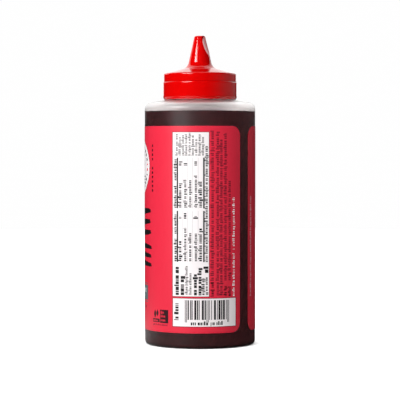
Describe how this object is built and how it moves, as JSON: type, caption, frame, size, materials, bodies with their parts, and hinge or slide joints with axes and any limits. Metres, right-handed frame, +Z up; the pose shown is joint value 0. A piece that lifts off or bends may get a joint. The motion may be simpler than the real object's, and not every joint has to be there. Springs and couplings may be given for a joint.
{
  "type": "barbecue sauce bottle",
  "caption": "Shut squeeze bottle of barbecue sauce, with a wrapped label and a red cap drawn up to a pointed spout.",
  "frame": {"origin": "centre of the ring that the bottle stands on", "axes": "+Z up along the bottle's axis, -Y out of the label's fact panel, +X towards the label's opening"},
  "size_m": [0.0692, 0.0692, 0.1924],
  "materials": {
    "bottle_wall": "natural milky blown plastic, satin, see-through where the sauce touches it",
    "sauce": "thick glossy dark brown-red sauce",
    "label": "glossy printed film, red with white panels",
    "cap": "moulded glossy red"
  },
  "bodies": {
    "root": {"bottle": "bottle_wall", "sauce": "sauce", "label": "label", "cap_base": "cap", "cap_lid": "cap"}
  },
  "joints": []
}
